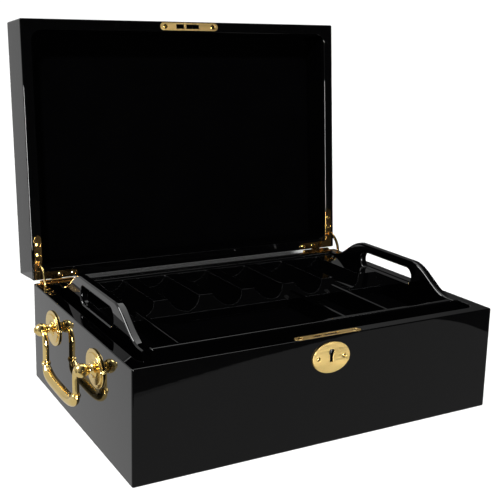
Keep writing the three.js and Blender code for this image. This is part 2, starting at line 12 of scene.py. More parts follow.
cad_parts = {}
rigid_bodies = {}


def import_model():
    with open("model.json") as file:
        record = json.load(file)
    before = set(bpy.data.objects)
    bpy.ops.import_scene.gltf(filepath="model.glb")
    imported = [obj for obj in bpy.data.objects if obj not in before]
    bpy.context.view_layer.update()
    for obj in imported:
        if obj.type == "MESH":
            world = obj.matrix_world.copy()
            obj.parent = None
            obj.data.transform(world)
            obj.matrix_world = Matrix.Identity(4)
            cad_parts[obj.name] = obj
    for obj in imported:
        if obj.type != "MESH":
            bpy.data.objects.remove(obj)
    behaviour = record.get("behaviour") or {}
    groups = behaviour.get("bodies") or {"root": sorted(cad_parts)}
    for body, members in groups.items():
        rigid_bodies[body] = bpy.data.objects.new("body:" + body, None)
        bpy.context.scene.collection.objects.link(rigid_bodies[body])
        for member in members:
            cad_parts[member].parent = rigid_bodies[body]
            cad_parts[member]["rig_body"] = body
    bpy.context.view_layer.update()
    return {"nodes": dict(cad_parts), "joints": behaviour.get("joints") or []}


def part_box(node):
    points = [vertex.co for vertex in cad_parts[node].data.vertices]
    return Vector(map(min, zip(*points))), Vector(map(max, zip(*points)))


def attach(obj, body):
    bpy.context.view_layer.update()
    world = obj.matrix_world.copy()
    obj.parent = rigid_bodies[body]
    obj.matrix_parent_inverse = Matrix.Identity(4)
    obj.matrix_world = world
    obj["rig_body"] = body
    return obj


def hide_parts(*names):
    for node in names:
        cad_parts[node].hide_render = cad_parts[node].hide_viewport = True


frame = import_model()

MM = 0.001
GAP = 0.3 * MM  # between a part and the hollow or the part that it sits in
SIDES = ((1, "right"), (-1, "left"))
ENDS = ((-1, "front"), (1, "rear"))


# ---- places, from the frame ----
def joint(name):
    return next(j for j in frame["joints"] if j["name"] == name)


def swing(degrees):
    """The turn about the hinge pins that carries a piece from the closed case to where it rests."""
    hinge = joint("lid_hinge")
    pivot = Vector(hinge["pos_m"])
    turn = Matrix.Rotation(math.radians(degrees), 4, Vector(hinge["axis"]))
    return Matrix.Translation(pivot) @ turn @ Matrix.Translation(-pivot)


OPEN_ANGLE = -joint("lid_hinge")["range_deg"][0]
LID_TURN = swing(OPEN_ANGLE)
STAY_TURN = swing(OPEN_ANGLE / 2)
HINGE_Y, PARTING = joint("lid_hinge")["pos_m"][1:]


def closed_box(node):
    """The box of a lid node as it is in the closed case."""
    back = LID_TURN.inverted()
    points = [back @ v.co for v in frame["nodes"][node].data.vertices]
    low = Vector(min(p[i] for p in points) for i in range(3))
    high = Vector(max(p[i] for p in points) for i in range(3))
    return low, high


SIDE_LOW, SIDE_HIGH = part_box("base_right_side")
HALF_W, HALF_D, BASE_TOP = SIDE_HIGH
INNER_W = SIDE_LOW.x
WALL = HALF_W - INNER_W
LID_LOW, LID_HIGH = closed_box("lid_right_side")
HALVES = {-1: ("base", None), 1: ("lid", LID_TURN)}
PANEL_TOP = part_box("base_bottom_panel")[1].z
CEILING = closed_box("lid_top_panel")[0].z
TRAY_LOW, TRAY_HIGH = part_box("tray_right_end")
WALL_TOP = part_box("tray_front_wall")[1].z


# ---- materials ----
def node_material(name, **sockets):
    material = bpy.data.materials.new(name)
    material.use_nodes = True
    shader = material.node_tree.nodes["Principled BSDF"]
    for socket, value in sockets.items():
        shader.inputs[socket.replace("_", " ")].default_value = value
    return material, material.node_tree.nodes, material.node_tree.links, shader


def texture_space(nodes, links, scale=(1, 1, 1)):
    """Object coordinates, so that nothing slides over a surface; scale stretches the grain."""
    place = nodes.new("ShaderNodeTexCoord")
    mapping = nodes.new("ShaderNodeMapping")
    mapping.inputs["Scale"].default_value = scale
    links.new(place.outputs["Object"], mapping.inputs["Vector"])
    return mapping.outputs["Vector"]


def noise(nodes, links, vector, scale, detail):
    texture = nodes.new("ShaderNodeTexNoise")
    texture.inputs["Scale"].default_value = scale
    texture.inputs["Detail"].default_value = detail
    links.new(vector, texture.inputs["Vector"])
    return texture.outputs["Fac"]


def spread(nodes, links, value, low, high, start=0.3, stop=0.7):
    """Maps a noise value onto the range from low to high."""
    ramp = nodes.new("ShaderNodeMapRange")
    ramp.inputs["From Min"].default_value = start
    ramp.inputs["From Max"].default_value = stop
    ramp.inputs["To Min"].default_value = low
    ramp.inputs["To Max"].default_value = high
    links.new(value, ramp.inputs["Value"])
    return ramp.outputs["Result"]


def blend_colours(nodes, links, factor, first, second):
    mix = nodes.new("ShaderNodeMix")
    mix.data_type = "RGBA"
    mix.inputs["A"].default_value = (*first, 1)
    mix.inputs["B"].default_value = (*second, 1)
    links.new(factor, mix.inputs["Factor"])
    return mix.outputs["Result"]


def bump(nodes, links, height, distance, below=None):
    """Fine relief of a noise value, laid over the relief below it if there is one."""
    relief = nodes.new("ShaderNodeBump")
    relief.inputs["Distance"].default_value = distance
    links.new(height, relief.inputs["Height"])
    if below:
        links.new(below, relief.inputs["Normal"])
    return relief.outputs["Normal"]


def lacquer_material():
    """Black piano lacquer: a mirror gloss with faint orange peel and polishing haze."""
    material, nodes, links, shader = node_material(
        "black_lacquer", IOR=1.46, Coat_Weight=0.25, Coat_Roughness=0.02
    )
    vector = texture_space(nodes, links)
    haze = noise(nodes, links, vector, scale=14, detail=4)
    tint = blend_colours(nodes, links, haze, (0.0002, 0.0002, 0.0003), (0.0005, 0.0005, 0.0005))
    links.new(tint, shader.inputs["Base Color"])
    links.new(spread(nodes, links, haze, low=0.012, high=0.04), shader.inputs["Roughness"])
    peel = noise(nodes, links, vector, scale=95, detail=1)
    links.new(bump(nodes, links, peel, 0.02 * MM), shader.inputs["Normal"])
    return material


def brass_material(name, roughness, grain, clean=(1.0, 0.76, 0.31), tarnish_and_shade=(0.70, 0.45, 0.11)):
    """Polished brass: colour drifts a little, and fine polishing lines run along one axis."""
    material, nodes, links, shader = node_material(name, Metallic=1.0)
    drift = noise(nodes, links, texture_space(nodes, links), scale=60, detail=3)
    # The second colour is tarnish; in the darker copies given below, both colours are also painted shade.
    colour = blend_colours(nodes, links, spread(nodes, links, drift, low=0, high=0.35), clean, tarnish_and_shade)
    links.new(colour, shader.inputs["Base Color"])
    lines = noise(nodes, links, texture_space(nodes, links, grain), scale=900, detail=2)
    links.new(spread(nodes, links, lines, roughness * 0.8, roughness * 1.25), shader.inputs["Roughness"])
    cast = noise(nodes, links, texture_space(nodes, links), scale=240, detail=2)
    relief = bump(nodes, links, cast, 0.015 * MM)
    links.new(bump(nodes, links, lines, 0.004 * MM, below=relief), shader.inputs["Normal"])
    return material


def edge_highlight_material():
    """A painted highlight: lighter satin lacquer along sharp edges, standing in for the light that those
    edges catch.
    """
    material, nodes, links, shader = node_material("painted_edge_highlight", Roughness=0.45)
    highlight_mottle = noise(nodes, links, texture_space(nodes, links), scale=70, detail=3)
    colour = blend_colours(nodes, links, highlight_mottle, (0.018, 0.018, 0.019), (0.05, 0.05, 0.052))
    links.new(colour, shader.inputs["Base Color"])
    links.new(bump(nodes, links, highlight_mottle, 0.02 * MM), shader.inputs["Normal"])
    return material


def steel_material():
    """Brushed steel for what hides in the lock and behind the handles."""
    material, nodes, links, shader = node_material("lock_steel", Metallic=1.0)
    lines = noise(nodes, links, texture_space(nodes, links, (0.2, 1, 1)), scale=700, detail=3)
    colour = blend_colours(nodes, links, lines, (0.36, 0.36, 0.37), (0.52, 0.52, 0.53))
    links.new(colour, shader.inputs["Base Color"])
    links.new(spread(nodes, links, lines, low=0.28, high=0.42), shader.inputs["Roughness"])
    links.new(bump(nodes, links, lines, 0.01 * MM), shader.inputs["Normal"])
    return material


def glow_material(name, radiance=1.0):
    """A black card or wall that sends out an even light of its own."""
    return node_material(
        name, Base_Color=(0, 0, 0, 1), Roughness=1.0, Specular_IOR_Level=0.0,
        Emission_Color=(1, 1, 1, 1), Emission_Strength=radiance
    )


def felt_material():
    """Short black velvet: fine flock, with soft cloudy patches where the pile leans."""
    material, nodes, links, shader = node_material("black_felt", Roughness=1.0, Specular_IOR_Level=0.01)
    vector = texture_space(nodes, links)
    clouds = noise(nodes, links, vector, scale=22, detail=3)
    flock = noise(nodes, links, vector, scale=1600, detail=2)
    colour = blend_colours(nodes, links, clouds, (0.0002, 0.0002, 0.00025), (0.0005, 0.0005, 0.0006))
    links.new(colour, shader.inputs["Base Color"])
    lean = bump(nodes, links, clouds, 0.3 * MM)
    links.new(bump(nodes, links, flock, 0.12 * MM, below=lean), shader.inputs["Normal"])
    return material


# Polishing lines stretch along the axis that has the smallest scale.
LINES_ALONG_X, LINES_ALONG_Z = (0.05, 1, 1), (1, 1, 0.06)
LACQUER = lacquer_material()
BRASS = brass_material("polished_brass", 0.13, LINES_ALONG_Z)
PLATE_BRASS = brass_material("plate_brass", 0.5, LINES_ALONG_X)
# Keeper and hinge brass are darker copies of the brass: their colours are painted shade, standing in for the
# dark reflections on the lock plates and hinge leaves.
KEEPER_BRASS = brass_material("keeper_brass", 0.37, LINES_ALONG_X, (0.86, 0.60, 0.24), (0.5, 0.3, 0.08))
HINGE_BRASS = brass_material("hinge_brass", 0.1, LINES_ALONG_Z, (0.7, 0.45, 0.17), (0.25, 0.11, 0.03))
# Lighter lacquer for the edges of the racks: a painted highlight.
EDGE_HIGHLIGHT = edge_highlight_material()
STEEL = steel_material()
FELT = felt_material()
SLOTS = {LACQUER: "black_lacquer", FELT: "black_felt",
         **dict.fromkeys((BRASS, PLATE_BRASS, KEEPER_BRASS, HINGE_BRASS), "polished_brass")}


# ---- making pieces ----
WELD = 1e-6


def add(name, data):
    obj = bpy.data.objects.new(name, data)
    bpy.context.scene.collection.objects.link(obj)
    return obj


def mesh_object(name, bm):
    mesh = bpy.data.meshes.new(name)
    bm.to_mesh(mesh)
    bm.free()
    return add(name, mesh)


def from_bmesh(name, bm):
    """One closed piece, welded and with its faces turned outward."""
    bmesh.ops.remove_doubles(bm, verts=bm.verts, dist=WELD)
    bmesh.ops.recalc_face_normals(bm, faces=bm.faces)
    return mesh_object(name, bm)


def evaluated_mesh(obj):
    graph = bpy.context.evaluated_depsgraph_get()
    return bpy.data.meshes.new_from_object(obj.evaluated_get(graph), depsgraph=graph)


def freeze(obj):
    """Applies the object's modifiers to its mesh."""
    mesh = evaluated_mesh(obj)
    obj.modifiers.clear()
    obj.data = mesh
    return obj


def cut(obj, *tools):
    """Cuts the tools out of the object and throws them away."""
    for tool in tools:
        step = obj.modifiers.new("cut", "BOOLEAN")
        step.operation = "DIFFERENCE"
        step.solver = "EXACT"
        step.object = tool
    freeze(obj)
    for tool in tools:
        bpy.data.objects.remove(tool)
    return obj


def join(name, pieces):
    """One object from several closed pieces that keep their own surfaces."""
    bm = bmesh.new()
    for piece in pieces:
        bm.from_mesh(piece.data)
        bpy.data.objects.remove(piece)
    return mesh_object(name, bm)


def mirrored(obj, side):
    """The piece as drawn on the right, or its mirror image on the left."""
    if side < 0:
        obj.data.transform(Matrix.Scale(-1, 4, Vector((1, 0, 0))))
        obj.data.flip_normals()
    return obj


def finish_piece(obj, material, body, replaced=(), turn=None, crease=32):
    """Shades, colours and places a piece, says what it rides on, and hides the parts that it stands for."""
    if turn:
        obj.data.transform(turn)
    mesh = obj.data
    mesh.polygons.foreach_set("use_smooth", [True] * len(mesh.polygons))
    mesh.set_sharp_from_angle(angle=math.radians(crease))
    weigh = obj.modifiers.new("weigh", "WEIGHTED_NORMAL")
    weigh.keep_sharp = True
    freeze(obj)
    obj.data.materials.clear()
    obj.data.materials.append(material)
    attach(obj, body)
    if replaced:
        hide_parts(*replaced)
    return obj


def block(name, low, high, radius=0.0):
    """A block; with a radius, every edge is rounded."""
    bm = bmesh.new()
    size = Vector(high) - Vector(low)
    middle = (Vector(high) + Vector(low)) / 2
    bmesh.ops.create_cube(bm, size=1, matrix=Matrix.Translation(middle) @ Matrix.Diagonal((*size, 1)))
    if radius:
        bmesh.ops.bevel(bm, geom=bm.edges[:], offset=radius, segments=2, profile=0.5, affect="EDGES")
    return from_bmesh(name, bm)


def arc(u, v, radius, start, stop, steps):
    """Points of an arc; angles in degrees."""
    turns = [math.radians(start + (stop - start) * i / steps) for i in range(steps + 1)]
    return [(u + radius * math.cos(a), v + radius * math.sin(a)) for a in turns]


def oval(u, v, width, height, steps=72):
    """An ellipse, or a circle, round its middle."""
    turns = [2 * math.pi * i / steps for i in range(steps)]
    return [(u + width / 2 * math.cos(a), v + height / 2 * math.sin(a)) for a in turns]


def round_bar(u, v, length, height, steps=14):
    """A bar with half-round ends."""
    r = height / 2
    run = length / 2 - r
    return arc(u + run, v, r, -90, 90, steps) + arc(u - run, v, r, 90, 270, steps)


# Outlines are drawn in two axes and raised along the third.
AXES = {
    "x": Matrix(((0, 0, 1, 0), (1, 0, 0, 0), (0, 1, 0, 0), (0, 0, 0, 1))),
    "y": Matrix(((1, 0, 0, 0), (0, 0, -1, 0), (0, 1, 0, 0), (0, 0, 0, 1))),
    "z": Matrix.Identity(4),
}


def plate(name, axis, outlines, low, high, rim, steps=3):
    """A flat plate between low and high along an axis, with rounded rims; later outlines are holes."""
    curve = bpy.data.curves.new(name, "CURVE")
    curve.dimensions = "2D"
    curve.fill_mode = "BOTH"
    curve.extrude = (high - low) / 2 - rim
    curve.bevel_depth = rim
    curve.bevel_resolution = steps
    curve.offset = -rim
    for outline in outlines:
        spline = curve.splines.new("POLY")
        spline.points.add(len(outline) - 1)
        for point, (u, v) in zip(spline.points, outline):
            point.co = (u, v, 0, 1)
        spline.use_cyclic_u = True
    obj = add(name, curve)
    mesh = evaluated_mesh(obj)
    bpy.data.objects.remove(obj)
    middle = (low + high) / 2
    shift = {"x": (middle, 0, 0), "y": (0, middle, 0), "z": (0, 0, middle)}[axis]
    mesh.transform(Matrix.Translation(shift) @ AXES[axis])
    bm = bmesh.new()
    bm.from_mesh(mesh)
    return from_bmesh(name, bm)


def stand(axis, place):
    """Carries a piece drawn up the Z axis to its place and its own axis."""
    spin = Vector((0, 0, 1)).rotation_difference(Vector(axis)).to_matrix().to_4x4()
    return Matrix.Translation(place) @ spin


def lathe(name, profile, axis, place, segments=48):
    """A turned piece: profile holds (radius, height) along the axis from place."""
    bm = bmesh.new()
    rings = []
    for radius, height in profile:
        if radius < WELD:
            rings.append([bm.verts.new((0, 0, height))])
            continue
        turns = [2 * math.pi * i / segments for i in range(segments)]
        rings.append([bm.verts.new((radius * math.cos(a), radius * math.sin(a), height)) for a in turns])
    skin(bm, rings)
    bmesh.ops.transform(bm, matrix=stand(axis, place), verts=bm.verts)
    return from_bmesh(name, bm)


def skin(bm, rings):
    """Faces between rings of vertices; a ring of one vertex is a pole, and open ends are capped."""
    for one, two in zip(rings, rings[1:]):
        count = max(len(one), len(two))
        for i in range(count):
            j = (i + 1) % count
            if len(one) == 1:
                bm.faces.new((one[0], two[i], two[j]))
            elif len(two) == 1:
                bm.faces.new((one[i], two[0], one[j]))
            else:
                bm.faces.new((one[i], one[j], two[j], two[i]))
    for ring in (rings[0], rings[-1]):
        if len(ring) > 2:
            bm.faces.new(ring)


def rod(name, radius, start, stop, chamfer=0.0):
    """A round rod between two points, with rounded ends if chamfer is given."""
    start, stop = Vector(start), Vector(stop)
    length = (stop - start).length
    profile = [(0, 0)]
    if chamfer:
        profile += [(radius - chamfer + chamfer * math.sin(a), chamfer - chamfer * math.cos(a))
                    for a in (math.radians(30 * i) for i in range(4))]
        profile += [(r, length - h) for r, h in reversed(profile[1:])]
    else:
        profile += [(radius, 0), (radius, length)]
    profile.append((0, length))
    return lathe(name, profile, (stop - start).normalized(), start, segments=32)


def smooth_path(points, steps):
    """A Catmull-Rom line through the points, with even steps between each pair."""
    ends = [points[0] * 2 - points[1], *points, points[-1] * 2 - points[-2]]
    line = []
    for a, b, c, d in zip(ends, ends[1:], ends[2:], ends[3:]):
        for i in range(steps):
            t = i / steps
            line.append(0.5 * (2 * b + (c - a) * t + (2 * a - 5 * b + 4 * c - d) * t * t
                               + (3 * b - a - 3 * c + d) * t ** 3))
    line.append(points[-1])
    return line


def sweep(name, line, sections, side):
    """A closed tube: sections hold the outline's (across, out) points at each point of a flat line."""
    bm = bmesh.new()
    rings = []
    for i, point in enumerate(line):
        ahead = (line[min(i + 1, len(line) - 1)] - line[max(i - 1, 0)]).normalized()
        out = side.cross(ahead)
        rings.append([bm.verts.new(point + side * u + out * v) for u, v in sections[i]])
    skin(bm, rings)
    return from_bmesh(name, bm)


# ---- the two lacquered shells ----
EDGE = {"outer": 1.5 * MM, "rim_out": 1.1 * MM, "rim_in": 0.8 * MM, "corner": 1.8 * MM,
        "least_corner": 0.3 * MM, "inner_corner": 12 * MM}


def soft_rectangle(half_u, half_v, radius, steps):
    """A rectangle about the origin with round corners."""
    points = []
    for su, sv, start in ((1, 1, 0), (-1, 1, 90), (-1, -1, 180), (1, -1, 270)):
        points += arc(su * (half_u - radius), sv * (half_v - radius), radius, start, start + 90, steps)
    return points


def open_box(name, closed_z, rim_z, floor_z):
    """A box shell without a lid: its profile runs from the closed face over the rim to the inside floor."""
    up = 1 if rim_z > closed_z else -1
    quarter = [math.radians(15 * i) for i in range(7)]
    outer, rim_out, rim_in = EDGE["outer"], EDGE["rim_out"], EDGE["rim_in"]
    profile = [(outer * (1 - math.sin(a)), closed_z + up * outer * (1 - math.cos(a))) for a in quarter]
    profile += [(rim_out * (1 - math.cos(a)), rim_z - up * rim_out * (1 - math.sin(a))) for a in quarter]
    profile += [(WALL - rim_in * (1 - math.sin(a)), rim_z - up * rim_in * (1 - math.cos(a))) for a in quarter]
    profile.append((WALL, floor_z))
    bm = bmesh.new()
    rings = []
    for inset, z in profile:
        radius = max(EDGE["corner"] - inset, EDGE["least_corner"])
        if inset > WALL / 2:
            radius = EDGE["inner_corner"]
        loop = soft_rectangle(HALF_W - inset, HALF_D - inset, radius, 6)
        rings.append([bm.verts.new((x, y, z)) for x, y in loop])
    skin(bm, rings)
    return from_bmesh(name, bm)


# ---- quadrant hinges, drawn on the right; up is -1 in the base and 1 in the lid ----
LEAF = {"thick": 1.8 * MM, "arm": 8.7 * MM, "side_arm": 52 * MM, "back_arm": 51.5 * MM, "edge": 3.5 * MM,
        "inset": 0.2 * MM, "gap": 0.15 * MM, "rim": 0.25 * MM, "recess_inward": 1.7 * MM}
BARREL = {"radius": 2.1 * MM, "start": 163 * MM, "stop": 200 * MM, "lid_knuckle": 12.4 * MM,
          "pin": 1.1 * MM, "head": 1.5 * MM}
# Spans and overlaps of the stay and its pocket are in degrees about the pin.
STAY = {"radius": 22 * MM, "width": 4 * MM, "thick": 1.9 * MM, "span": 58, "head": 4.2,
        "head_proud": 1.3 * MM, "x": INNER_W + 4.65 * MM}
POCKET = {"reach": 0.6 * MM, "beside": 1.9 * MM, "beyond": 1.5, "across": 2}
SCREW = {"head": 2.7 * MM, "slot": 0.55 * MM, "slot_depth": 0.6 * MM, "countersink": 2.95 * MM,
         "sink": 0.25 * MM, "shank": 1.4 * MM, "lip": 0.15 * MM, "dome": 0.35 * MM}
SCREW_PLACES = [(INNER_W + 4.5 * MM, HALF_D - 41.1 * MM), (INNER_W + 4.5 * MM, HALF_D - 29.1 * MM),
                (HALF_W - 49 * MM, HALF_D - 4.5 * MM), (HALF_W - 33 * MM, HALF_D - 4.5 * MM)]
RECESS = 2.25 * MM  # how deep the leaves and the plates are let in


def leaf_outline(grow=0.0):
    """The L outline of a leaf; grow widens it for the recess that it lies in."""
    outer = HALF_W - LEAF["edge"] + grow
    inner = INNER_W + LEAF["inset"] - (LEAF["recess_inward"] if grow else 0)
    back = HALF_D + (MM if grow else 0)
    front = HALF_D - LEAF["arm"] - grow
    r = LEAF["arm"] / 2 + grow
    side_end = HALF_D - LEAF["side_arm"] + LEAF["arm"] / 2
    back_end = outer - grow - LEAF["back_arm"] + LEAF["arm"] / 2
    half = (outer - inner) / 2
    return ([(outer, back)] + arc(back_end, front + r, r, 90, 270, 16)
            + [(inner, front)] + arc(inner + half, side_end, half, 180, 360, 16))


def level(up, depth):
    """A height that lies depth below the parting plane in the base, or above it in the lid."""
    return PARTING + up * depth


def leaf_recess(up, side):
    """What is cut out of a shell for a leaf."""
    low, high = sorted((level(up, -MM), level(up, RECESS)))
    return mirrored(plate("tool", "z", [leaf_outline(GAP)], low, high, 0.0), side)


def stay_ring(inner, outer, start, stop, steps):
    """Part of a ring about the hinge pin, in Y and Z; angles grow upward from straight forward."""
    def at(radius, degrees):
        a = math.radians(degrees)
        return HINGE_Y - radius * math.cos(a), PARTING + radius * math.sin(a)
    angles = [start + (stop - start) * i / steps for i in range(steps + 1)]
    return [at(outer, a) for a in angles] + [at(inner, a) for a in reversed(angles)]


def stay_pocket(up, side):
    """What is cut out of a shell for the stay to sink into."""
    reach = STAY["width"] / 2 + POCKET["reach"]
    half = STAY["thick"] / 2 + POCKET["beside"]
    start, stop = sorted((-up * POCKET["across"], up * (STAY["span"] + POCKET["beyond"])))
    ring = stay_ring(STAY["radius"] - reach, STAY["radius"] + reach, start, stop, 12)
    return mirrored(plate("tool", "x", [ring], STAY["x"] - half, STAY["x"] + half, 0.0), side)


def slotted_screw(name, place, axis, turn_degrees, head=SCREW["head"], dome=SCREW["dome"]):
    """The head of a slotted wood screw, flush in its countersink and a little domed."""
    foot = -SCREW["shank"]
    rings = [(0, foot), (head / 2, foot), (head, -SCREW["lip"]), (head, 0)]
    rings += [(head * math.cos(a), dome * math.sin(a)) for a in (math.radians(15 * i) for i in range(1, 6))]
    screw = lathe(name, rings + [(0, dome)], (0, 0, 1), (0, 0, 0), 28)
    half, width = head * 1.3, SCREW["slot"] / 2
    slot = block("tool", (-half, -width, dome - SCREW["slot_depth"]), (half, width, dome + MM))
    slot.data.transform(Matrix.Rotation(math.radians(turn_degrees), 4, "Z"))
    cut(screw, slot)
    screw.data.transform(stand(axis, place))
    return screw


def rectangle(u0, u1, v0, v1):
    return [(u0, v0), (u1, v0), (u1, v1), (u0, v1)]


def hinge_rod(name, radius, x0, x1, chamfer=0.0):
    """A rod on the axis of the hinge."""
    return rod(name, radius, (x0, HINGE_Y, PARTING), (x1, HINGE_Y, PARTING), chamfer)


def hinge_leaf(up, side, hand):
    """A leaf with its knuckles and its screws."""
    body, turn = HALVES[up]
    low, high = sorted((level(up, LEAF["gap"]), level(up, LEAF["gap"] + LEAF["thick"])))
    holes = [oval(x, y, 2 * SCREW["countersink"], 2 * SCREW["countersink"], 28) for x, y in SCREW_PLACES]
    half_slot = STAY["thick"] / 2 + GAP
    slot_y = HINGE_Y - STAY["radius"]
    reach = STAY["width"] / 2 + GAP
    holes.append(rectangle(STAY["x"] - half_slot, STAY["x"] + half_slot, slot_y - reach, slot_y + reach))
    flat = plate("leaf", "z", [leaf_outline(), *holes], low, high, LEAF["rim"])
    middle = (BARREL["start"] + BARREL["stop"]) / 2
    inside = (middle - BARREL["lid_knuckle"] / 2, middle + BARREL["lid_knuckle"] / 2)
    spans = [inside] if up > 0 else [(BARREL["start"], inside[0] - GAP), (inside[1] + GAP, BARREL["stop"])]
    parts = [flat]
    for x0, x1 in spans:
        parts.append(hinge_rod("knuckle", BARREL["radius"], x0, x1, 0.25 * MM))
        parts.append(block("finger", (x0, HALF_D - MM, low), (x1, HINGE_Y, high), 0.2 * MM))
    leaf = mirrored(join(f"leaf_{body}_{hand}", parts), side)
    finish_piece(leaf, HINGE_BRASS, body, [f"hinge_{body}_leaf_{hand}"], turn)
    screws = []
    for number, (x, y) in enumerate(SCREW_PLACES):
        place = (x, y, level(up, LEAF["gap"] + SCREW["sink"]))
        screws.append(slotted_screw("screw", place, (0, 0, -up), 35 + 50 * number))
    screws = mirrored(join(f"hinge_{body}_screws_{hand}", screws), side)
    finish_piece(screws, BRASS, body, turn=turn)


def hinge_stay(side, hand):
    """The curved stay: a bar with softened edges and a wider head at each end."""
    steps = 60
    angles = [-STAY["span"] + 2 * STAY["span"] * i / steps for i in range(steps + 1)]
    head_from = STAY["span"] - STAY["head"]
    line, sections = [], []
    for degrees in angles:
        a = math.radians(degrees)
        y, z = HINGE_Y - STAY["radius"] * math.cos(a), PARTING + STAY["radius"] * math.sin(a)
        line.append(Vector((STAY["x"], y, z)))
        half = STAY["thick"] / 2 + (STAY["head_proud"] if abs(degrees) > head_from else 0)
        sections.append(soft_rectangle(half, STAY["width"] / 2, 0.4 * MM, 3))
    stay = mirrored(sweep(f"stay_bar_{hand}", line, sections, Vector((1, 0, 0))), side)
    finish_piece(stay, BRASS, f"stay_{hand}", [f"hinge_stay_{hand}"], STAY_TURN)


def hinge_pin(side, hand):
    """The pin with a head outside each end of the barrel."""
    radius = BARREL["radius"] - 0.2 * MM
    parts = [hinge_rod("pin", BARREL["pin"], BARREL["start"] - MM, BARREL["stop"] + MM)]
    for x, out in ((BARREL["start"] - GAP, -1), (BARREL["stop"] + GAP, 1)):
        parts.append(hinge_rod("head", radius, x, x + out * BARREL["head"], 0.5 * MM))
    pin = mirrored(join(f"pin_{hand}", parts), side)
    finish_piece(pin, BRASS, "base", [f"hinge_pin_{hand}"])


# ---- lock furniture ----
LOCK_Y = (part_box("lock_case")[0].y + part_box("lock_case")[1].y) / 2
KEY_Z = joint("lock_key_turn")["pos_m"][2]
KEYHOLE = {"radius": 3.3 * MM, "slot": 1.7 * MM, "drop": 10 * MM}
PLATE = {"thick": 1.8 * MM, "slots": ((-17.6 * MM, -7.4 * MM), (-4 * MM, 13 * MM)), "slot_width": 5 * MM,
         "screw_x": 32 * MM, "rim": 0.3 * MM}
BOLT_POCKET = {"beyond": MM, "half_width": 3 * MM, "depth": 10 * MM}
ESCUTCHEON = {"screw_head": 1.8 * MM, "screw_hole": 2.1 * MM, "screw_dome": 0.5 * MM, "rim": 0.45 * MM}


def lock_bar(grow=0.0):
    """The outline of both plates; grow widens it for the recess."""
    low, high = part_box("lock_face_plate")
    return round_bar(0, LOCK_Y, high.x - low.x + 2 * grow, high.y - low.y + 2 * grow)


def plate_recess(up):
    """What is cut out of a shell for the plate of the lock or of the strike."""
    low, high = sorted((level(up, -MM), level(up, RECESS)))
    return plate("tool", "z", [lock_bar(GAP)], low, high, 0.0)


def lock_mortise():
    """The hollow that the lock's case sits in, open at the top."""
    low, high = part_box("lock_case")
    grow = Vector((GAP, GAP, GAP))
    return block("tool", low - grow, Vector((high.x, high.y, PARTING)) + grow)


def keyhole_outline():
    r, half = KEYHOLE["radius"], KEYHOLE["slot"]
    start = math.degrees(math.asin(half / r))
    low = KEY_Z - KEYHOLE["drop"]
    return arc(0, KEY_Z, r, start - 90, 270 - start, 28) + [(-half, low), (half, low)]


def lock_plate(up, name, node, owner):
    """The slotted plate of the lock or of the strike, with its two screws."""
    body, turn = HALVES[up]
    low, high = sorted((level(up, LEAF["gap"]), level(up, LEAF["gap"] + PLATE["thick"])))
    v0, v1 = LOCK_Y - PLATE["slot_width"] / 2, LOCK_Y + PLATE["slot_width"] / 2
    holes = [rectangle(u0, u1, v0, v1) for u0, u1 in PLATE["slots"]]
    size = 2 * SCREW["countersink"]
    holes += [oval(s * PLATE["screw_x"], LOCK_Y, size, size, 28) for s in (-1, 1)]
    obj = plate(name, "z", [lock_bar(), *holes], low, high, PLATE["rim"])
    finish_piece(obj, KEEPER_BRASS, body, [node], turn)
    for s, hand in SIDES:
        place = (s * PLATE["screw_x"], LOCK_Y, level(up, LEAF["gap"] + SCREW["sink"]))
        screw = slotted_screw(f"{owner}_head_{hand}", place, (0, 0, -up), 20 + 70 * (s > 0))
        finish_piece(screw, BRASS, body, [f"{owner}_screw_{hand}"], turn)


def escutcheon():
    """The oval plate round the keyhole, with its two screws."""
    low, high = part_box("escutcheon")
    width, height, middle = high.x - low.x, high.z - low.z, (high.z + low.z) / 2
    size = 2 * ESCUTCHEON["screw_hole"]
    places = [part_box(f"escutcheon_screw_{hand}") for _, hand in SIDES]
    centres = [(a + b) / 2 for a, b in places]
    holes = [keyhole_outline()] + [oval(c.x, c.z, size, size, 28) for c in centres]
    outlines = [oval(0, middle, width, height, 96), *holes]
    obj = plate("escutcheon_plate", "y", outlines, low.y, high.y, ESCUTCHEON["rim"], 4)
    finish_piece(obj, PLATE_BRASS, "base", ["escutcheon"])
    for (_, hand), centre in zip(SIDES, centres):
        place = (centre.x, low.y - 0.05 * MM, centre.z)
        screw = slotted_screw(f"escutcheon_head_{hand}", place, (0, -1, 0), 60,
                              ESCUTCHEON["screw_head"], ESCUTCHEON["screw_dome"])
        finish_piece(screw, BRASS, "base", [f"escutcheon_screw_{hand}"])


def keyhole_cut():
    return plate("tool", "y", [keyhole_outline()], -HALF_D - MM, LOCK_Y, 0.0)


def bolt_pocket():
    """The hollow in the lid that the bolt's prongs rise into."""
    left, right = PLATE["slots"][0][0] - BOLT_POCKET["beyond"], PLATE["slots"][1][1] + BOLT_POCKET["beyond"]
    half = BOLT_POCKET["half_width"]
    top = PARTING + BOLT_POCKET["depth"]
    return block("tool", (left, LOCK_Y - half, PARTING - MM), (right, LOCK_Y + half, top))


# ---- the two shells with all that is let into them ----
NUT = {"radius": 8 * MM, "depth": 5 * MM}


def handle_sockets():
    """The hollows for the nuts on the inside of the base."""
    tools = []
    for side, hand in SIDES:
        for _, row in ENDS:
            low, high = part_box(f"handle_{row}_nut_{hand}")
            middle = (low + high) / 2
            inner = Vector((side * (INNER_W - MM), middle.y, middle.z))
            reach = Vector((side * (NUT["depth"] + MM), 0, 0))
            tools.append(rod("tool", NUT["radius"], inner, inner + reach))
    return tools


